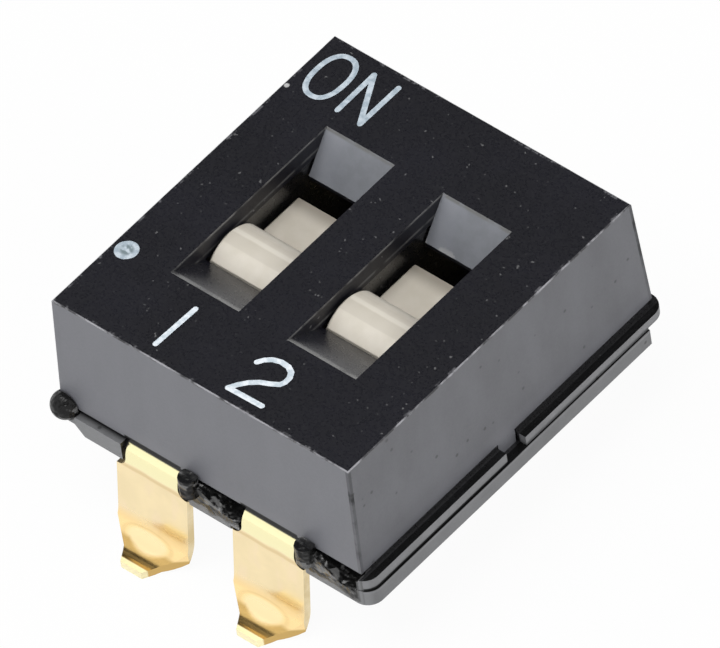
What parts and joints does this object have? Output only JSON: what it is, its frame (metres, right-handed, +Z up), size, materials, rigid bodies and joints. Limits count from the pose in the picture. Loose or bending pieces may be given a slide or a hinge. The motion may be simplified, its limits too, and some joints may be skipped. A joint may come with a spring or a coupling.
{
  "type": "dip switch",
  "caption": "Small black surface-mount slide switch: a box with slotted top, cream sliders in the slots, and splayed gold terminals bent to solder feet.",
  "frame": {"origin": "on the solder plane, under the middle of the housing", "axes": "+X along the row of positions, +Y towards the ON side, +Z up through the slotted top"},
  "size_m": [0.007, 0.0092, 0.0046],
  "materials": {
    "cover_plastic": "satin moulded black, glass filled",
    "base_plastic": "satin moulded black, glass filled",
    "slider_plastic": "moulded cream",
    "terminal_gold": "stamped and gold plated",
    "wiper_gold": "thin gold-plated spring strip"
  },
  "bodies": {
    "housing": {"cover": "cover_plastic", "base": "base_plastic", "front_terminal_1": "terminal_gold", "front_terminal_2": "terminal_gold", "back_terminal_1": "terminal_gold", "back_terminal_2": "terminal_gold"},
    "switch_1": {"slider_1": "slider_plastic", "wiper_1": "wiper_gold"},
    "switch_2": {"slider_2": "slider_plastic", "wiper_2": "wiper_gold"}
  },
  "joints": [
    {"name": "slide_1", "type": "slide", "parent": "housing", "child": "switch_1", "axis": [0, 1, 0], "range_m": [0, 0.0012]},
    {"name": "slide_2", "type": "slide", "parent": "housing", "child": "switch_2", "axis": [0, 1, 0], "range_m": [0, 0.0012]}
  ]
}
